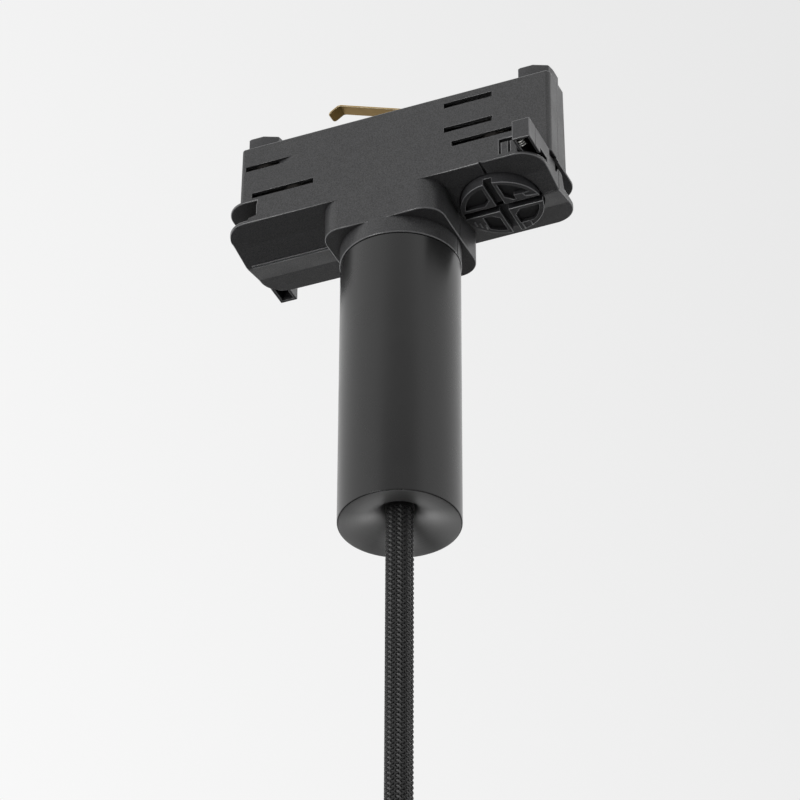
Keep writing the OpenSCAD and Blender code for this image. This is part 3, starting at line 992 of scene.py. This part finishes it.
@dataclass
class Contacts:
    """Fixed contacts, the detent spring and the earth leaf. Lengths are in millimetres."""

    shop: Workshop
    edges: EdgeRound = EdgeRound(0.12, fine=0.1, from_deg=50.0)
    tip_r: float = 1.1
    tip_reach: float = 0.8
    strip_t: float = 1.0

    def round_tip(self, bm: BMesh) -> None:
        """Round the two corners at the tip of the earth leaf.

        Args:
            bm: Mesh of the leaf.
        """
        tip = min(vert.co.x for vert in bm.verts)
        corners = []
        for edge in bm.edges:
            near = all(vert.co.x - tip < self.tip_reach * MM for vert in edge.verts)
            if near and edge.calc_length() < self.strip_t * MM and edge.calc_face_angle(0.0) > 1.0:
                corners.append(edge)
        round_off(bm, corners, self.tip_r, segments=5)

    def build(self) -> None:
        """Dress the strips and round the earth leaf."""
        self.shop.dress(Palette.tinned_shaded, "right_lower_contact", "left_lower_contact", "neutral_contact")
        self.shop.dress(Palette.steel, "detent_spring")
        for name in ("earth_contact", "earth_rivet"):
            bm = solid_copy(self.shop.node(name))
            if name == "earth_contact":
                self.round_tip(bm)
            soften(bm, 50.0)
            self.edges.mark(bm)
            # Rounded edges take a pale finish, a painted highlight.
            piece = self.shop.place(
                bm, f"{name}_strip", Palette.brass, Body.ADAPTER, "earth_brass", [name], [Palette.brass_edge_highlight]
            )
            self.edges.finish(piece)


@dataclass
class TubeCup:
    """The coated tube with the turned trumpet of its lower end.

    Lengths are in millimetres; heights are measured from the lower rim.
    """

    shop: Workshop
    wall: float = 1.3
    hole_r: float = 4.35
    rise: float = 8.0
    rim_round: float = 0.35
    top_round: float = 0.2
    back_gap: float = 0.3
    rim_steps: int = 4
    bell_steps: int = 30
    back_steps: int = 12
    steps: int = 160

    def profile(self) -> list[Vector]:
        """Give the half section of the tube, from the inner top edge round to it again.

        Returns:
            Points in metres in the X-Z plane.
        """
        low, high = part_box("tube")
        radius, bottom, top = high.x / MM, low.z / MM, high.z / MM
        inner = radius - self.wall
        points: list[tuple[float, float]] = [
            (inner, top - self.top_round),
            (inner + self.top_round, top),
            (radius - self.top_round, top),
            (radius, top - self.top_round),
            (radius, bottom + self.rim_round),
        ]
        for k in range(1, self.rim_steps + 1):
            turn = math.radians(90 * k / self.rim_steps)
            out, drop = 1 - math.cos(turn), 1 - math.sin(turn)
            points.append((radius - self.rim_round * out, bottom + self.rim_round * drop))
        start = points[-1][0]
        for k in range(1, self.bell_steps + 1):
            turn = math.radians(90 * k / self.bell_steps)
            x = start - (start - self.hole_r) * math.sin(turn)
            points.append((x, bottom + self.rise * (1 - math.cos(turn))))
        for k in range(1, self.back_steps + 1):
            turn = math.radians(90 * (self.back_steps - k) / self.back_steps)
            x = inner - (inner - self.hole_r - self.back_gap) * math.sin(turn)
            points.append((x, bottom + self.wall + self.rise * (1 - math.cos(turn))))
        return [Vector((x * MM, 0.0, z * MM)) for x, z in points]

    def build(self) -> None:
        """Turn the tube and finish it."""
        bm = bmesh.new()
        bmesh.ops.spin(
            bm,
            geom=closed_line(bm, self.profile()),
            cent=(0, 0, 0),
            axis=(0, 0, 1),
            angle=math.tau,
            steps=self.steps,
            use_merge=True,
        )
        bmesh.ops.remove_doubles(bm, verts=bm.verts, dist=0.001 * MM)
        bmesh.ops.recalc_face_normals(bm, faces=bm.faces)
        soften(bm, 40.0)
        low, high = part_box("tube")
        for face in bm.faces:
            centre = face.calc_center_median()
            inside = math.hypot(centre.x, centre.y) < high.x - (self.rim_round + 0.01) * MM
            if inside and centre.z < low.z + self.rise * MM and face.normal.z < 0.05:
                face.material_index = 1
        self.shop.place(bm, "tube_cup", Palette.tube, Body.ADAPTER, "tube_coat", ["tube"], [Palette.trumpet])


@dataclass
class CordRun:
    """The braided textile cord, its held end and the fitting below the view. Lengths are in millimetres."""

    shop: Workshop
    diameter: float = 8.0
    top_z: float = -110.0
    drops: tuple[float, ...] = (0, 22, 44, 66, 88, 106)
    carriers: int = 16
    lead: float = 25.0
    strand_w: float = 1.0
    strand_t: float = 0.5
    wave: float = 0.17
    steps_per_turn: int = 112
    first_deg: float = 23.1
    edges: EdgeRound = EdgeRound(0.3)

    @property
    def length(self) -> float:
        """Length of the free cord."""
        return self.drops[-1] - self.drops[0]

    def route(self) -> list[Vector]:
        """Give the points of the cord's centre line in metres."""
        return [Vector((0.0, 0.0, (self.top_z - d) * MM)) for d in self.drops]

    def strand(self, turn: float, hand: int) -> BMesh:
        """Sweep one flat strand down the cord as a helix.

        Args:
            turn: Angle at which the strand starts, in radians.
            hand: 1 or -1, the way round that it runs.

        Returns:
            The mesh of the strand.
        """
        bm = bmesh.new()
        middle = self.diameter / 2 - self.wave - self.strand_t / 2
        half_w, half_t = self.strand_w / 2, self.strand_t / 2
        section = (
            (-half_w, -half_t * 0.4),
            (-half_w * 0.62, half_t * 0.62),
            (0.0, half_t),
            (half_w * 0.62, half_t * 0.62),
            (half_w, -half_t * 0.4),
        )
        outline = closed_line(bm, [((middle + out) * MM, 0.0, across * MM) for across, out in section])
        bmesh.ops.rotate(bm, verts=bm.verts, cent=(0, 0, 0), matrix=Matrix.Rotation(turn, 3, "Z"))
        bmesh.ops.translate(bm, verts=bm.verts, vec=(0.0, 0.0, self.top_z * MM))
        turns = self.length / self.lead
        steps = int(self.steps_per_turn * turns)
        bmesh.ops.spin(
            bm,
            geom=outline,
            cent=(0, 0, 0),
            axis=(0, 0, 1),
            dvec=(0.0, 0.0, -self.length * MM / steps),
            angle=hand * math.tau * turns,
            steps=steps,
            use_merge=False,
        )
        return bm

    def weave(self, verts: Iterable[bmesh.types.BMVert], hand: int) -> None:
        """Lift a strand over one crossing and sink it under the next.

        The crossings of one hand stand above each other, so the braid shows upright columns.

        Args:
            verts: Vertices of the strand.
            hand: The way round that it runs.
        """
        for vert in verts:
            depth = self.top_z - vert.co.z / MM
            crossing = 2 * self.carriers * depth / self.lead
            lift = hand * self.wave * math.tanh(2 * math.cos(math.pi * crossing))
            outward = Vector((vert.co.x, vert.co.y, 0.0)).normalized()
            vert.co += outward * lift * MM

    def trim(self, bm: BMesh) -> None:
        """Cut the braid square at both ends.

        Args:
            bm: Mesh of the braid.
        """
        for z, normal in ((self.top_z, (0, 0, 1)), (self.top_z - self.length, (0, 0, -1))):
            geometry = list(bm.verts) + list(bm.edges) + list(bm.faces)
            bmesh.ops.bisect_plane(
                bm, geom=geometry, plane_co=(0, 0, z * MM), plane_no=normal, clear_outer=True
            )

    def unwrap(self, bm: BMesh, hand: int) -> None:
        """Give a strand a UV map in metres, along and across its own run.

        Args:
            bm: Mesh of the strand.
            hand: The way round that it runs.
        """
        layer = bm.loops.layers.uv.new("strand_run")
        slope = math.tau * self.diameter / 2 / self.lead
        cosine = 1 / math.sqrt(1 + slope * slope)
        sine = slope * cosine
        for face in bm.faces:
            centre = face.calc_center_median()
            base = math.atan2(centre.y, centre.x)
            for loop in face.loops:
                co = loop.vert.co
                angle = math.atan2(co.y, co.x)
                angle = base + (angle - base + math.pi) % math.tau - math.pi
                arc = angle * self.diameter / 2 * MM * hand
                depth = self.top_z * MM - co.z
                loop[layer].uv = (depth * cosine + arc * sine, arc * cosine - depth * sine)

    def paint_glints(self, bm: BMesh) -> None:
        """Give the stitches of every second column a lighter yarn, a painted glint.

        Args:
            bm: Mesh of the strand.
        """
        column = math.tau / self.carriers
        for face in bm.faces:
            centre = face.calc_center_median()
            place = (math.atan2(centre.y, centre.x) - math.radians(self.first_deg)) / column
            if round(place) % 2 == 0:
                face.material_index = 1

    def core(self, bm: BMesh) -> None:
        """Add the dark core under the braid.

        Args:
            bm: Mesh of the braid.
        """
        radius = self.diameter / 2 - self.wave - self.strand_t
        middle = Vector((0.0, 0.0, self.top_z - self.length / 2)) * MM
        rod(bm, radius, self.length, Matrix.Translation(middle), segments=32)

    def build(self) -> None:
        bm = bmesh.new()
        held = bpy.data.meshes.new("strand")
        for hand in (1, -1):
            for index in range(self.carriers):
                turn = math.radians(self.first_deg) + math.tau * index / self.carriers
                strand = self.strand(turn, hand)
                self.weave(strand.verts, hand)
                self.unwrap(strand, hand)
                if hand > 0:
                    self.paint_glints(strand)
                strand.to_mesh(held)
                strand.free()
                bm.from_mesh(held)
        bpy.data.meshes.remove(held)
        self.trim(bm)
        self.core(bm)
        bmesh.ops.recalc_face_normals(bm, faces=bm.faces)
        soften(bm, 60.0)
        others = [Palette.glint_yarn]
        cord = self.shop.place(
            bm, "braided_cord", Palette.yarn, Body.ADAPTER, "cord_textile", ["cord"], others
        )
        bm = solid_copy(self.shop.node("cord_fitting"))
        soften(bm)
        self.edges.mark(bm)
        others = [Palette.fitting]
        fitting = self.shop.place(
            bm, "cord_end_fitting", Palette.fitting, Body.ADAPTER, "fitting_coat", ["cord_fitting"], others
        )
        self.edges.finish(fitting)
        self.shop.dress(Palette.yarn, "cord_tail")
        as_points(self.route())


@dataclass
class CordClamp:
    """The clamp and the cores inside the tube."""

    shop: Workshop

    def build(self) -> None:
        """Dress the inner pieces."""
        self.shop.dress(Palette.clamp, "clamp_saddle", "clamp_bar")
        self.shop.dress(Palette.steel, "clamp_screws")
        self.shop.dress(Palette.insulation, "supply_cores")


@dataclass(frozen=True)
class AreaLamp:
    """One soft box of the studio."""

    name: str
    place: tuple[float, float, float]
    size: tuple[float, float]
    watts: float
    mirrored: bool


@dataclass
class Studio:
    """Camera, floor, world and lamps. Lengths are in metres."""

    shop: Workshop
    camera_place: tuple[float, float, float] = (0.36436, -0.85297, -0.71988)
    azimuth_deg: float = 23.134
    pitch_deg: float = 34.934
    roll_deg: float = 0.2267
    lens_mm: float = 179.83
    sensor_mm: float = 36.0
    floor_z: float = -0.95
    floor_half: float = 0.3
    aim: tuple[float, float, float] = (0.0, 0.0, -0.05)
    backdrop: float = 0.872
    ambient: float = 0.24
    mirrored: float = 1.1
    dark_side: float = 0.58
    ground: float = 0.13
    lamps: tuple[AreaLamp, ...] = (
        AreaLamp("left_front", (-1.47, -1.63, 0.1), (1.6, 1.6), 22.5, False),
        AreaLamp("rear_fill", (0.5, 1.9, 0.7), (1.6, 1.6), 45.0, False),
        AreaLamp("right_end", (2.2, -0.08, 0.1), (1.4, 1.4), 8.0, False),
        AreaLamp("low_front", (-0.5, -1.42, -0.6), (0.45, 0.9), 5.0, True),
    )

    def build(self) -> None:
        """Set up everything that isn't part of the object."""
        self.set_camera()
        self.set_floor()
        self.set_world()
        for lamp in self.lamps:
            self.hang_lamp(lamp)
        bpy.context.scene.view_settings.view_transform = "Standard"

    def axes(self) -> tuple[Vector, Vector, Vector]:
        """Give the directions of the camera.

        Returns:
            Its right, up and forward directions.
        """
        azimuth, pitch = math.radians(self.azimuth_deg), math.radians(self.pitch_deg)
        forward = Vector(
            (-math.sin(azimuth) * math.cos(pitch), math.cos(azimuth) * math.cos(pitch), math.sin(pitch))
        )
        level = Vector((math.cos(azimuth), math.sin(azimuth), 0.0))
        roll = math.radians(self.roll_deg)
        right = level * math.cos(roll) + level.cross(forward) * math.sin(roll)
        return right, right.cross(forward), forward

    def set_camera(self) -> None:
        """Place the camera at the photograph's point of view."""
        right, up, forward = self.axes()
        turn = Matrix((right, up, -forward)).transposed().to_4x4()
        data = bpy.data.cameras.new("photo_camera")
        data.sensor_fit = "HORIZONTAL"
        data.sensor_width = self.sensor_mm
        data.lens = self.lens_mm
        data.clip_start = 0.05
        camera = bpy.data.objects.new("photo_camera", data)
        camera.matrix_world = Matrix.Translation(self.camera_place) @ turn
        bpy.context.scene.collection.objects.link(camera)
        bpy.context.scene.camera = camera

    def set_floor(self) -> None:
        """Lay the pale studio floor."""
        bm = bmesh.new()
        bmesh.ops.create_grid(bm, x_segments=1, y_segments=1, size=self.floor_half)
        bmesh.ops.translate(bm, verts=bm.verts, vec=(0, 0, self.floor_z))
        mesh = bpy.data.meshes.new("studio_floor")
        bm.to_mesh(mesh)
        bm.free()
        mesh.materials.append(self.shop.material(StudioPaper("studio_paper", "#c4c4c4", "#cccccc")))
        floor = bpy.data.objects.new("studio_floor", mesh)
        bpy.context.scene.collection.objects.link(floor)

    def set_world(self) -> None:
        """Give the world its pale backdrop, a little brighter at the lower left, and its even light."""
        world = bpy.data.worlds.new("studio_world")
        bpy.context.scene.world = world
        world.use_nodes = True
        tree = world.node_tree
        tree.nodes.clear()
        right, up, _ = self.axes()
        azimuth = math.radians(self.azimuth_deg)
        camera_ray, mirror_ray = light_path(tree)
        ray = add_node(tree, "NewGeometry").outputs["Incoming"]
        shade = calc(tree, "ADD", dot(tree, ray, right * 0.45 + up * 0.25), self.backdrop)
        # The side behind the camera is dimmer, as an open studio is.
        back = dot(tree, ray, (-math.sin(azimuth), math.cos(azimuth), 0.0))
        dimmed = (self.mirrored, self.mirrored * self.dark_side)
        dim = remap(tree, back, (0.66, 0.88), dimmed, "SMOOTHSTEP")
        lit = mix_value(tree, mirror_ray, self.ambient, dim)
        # Round the paper the studio's own ground is dull.
        height = add_node(tree, "SeparateXYZ", inputs={0: ray}).outputs["Z"]
        below = remap(tree, height, (0.27, 0.37), ease="SMOOTHSTEP")
        level = mix_value(tree, below, lit, self.ground)
        strength = mix_value(tree, camera_ray, level, shade)
        sky = add_node(tree, "Background", inputs={"Color": linear("#ffffff"), "Strength": strength})
        add_node(tree, "OutputWorld", inputs={"Surface": sky.outputs[0]})

    def hang_lamp(self, lamp: AreaLamp) -> None:
        """Hang one soft box, turned to the object.

        Args:
            lamp: Place, size and power of the lamp.
        """
        data = bpy.data.lights.new(lamp.name, "AREA")
        data.shape = "RECTANGLE"
        data.size, data.size_y = lamp.size
        data.energy = lamp.watts
        light = bpy.data.objects.new(lamp.name, data)
        light.visible_glossy = lamp.mirrored
        place = Vector(lamp.place)
        look = (Vector(self.aim) - place).to_track_quat("-Z", "Y")
        light.matrix_world = Matrix.Translation(place) @ look.to_matrix().to_4x4()
        bpy.context.scene.collection.objects.link(light)


def main() -> None:
    """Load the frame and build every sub-assembly."""
    logging.basicConfig(level=logging.INFO, format="%(name)s: %(message)s")
    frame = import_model()
    shop = Workshop(frame)
    Studio(shop).build()
    CordRun(shop).build()
    MouldedShells(shop).build()
    Latches(shop).build()
    ReturnSpring(shop).build()
    Selector(shop).build()
    RaisedMarks(shop).build()
    Contacts(shop).build()
    TubeCup(shop).build()
    CordClamp(shop).build()


if __name__ == "__main__":
    main()
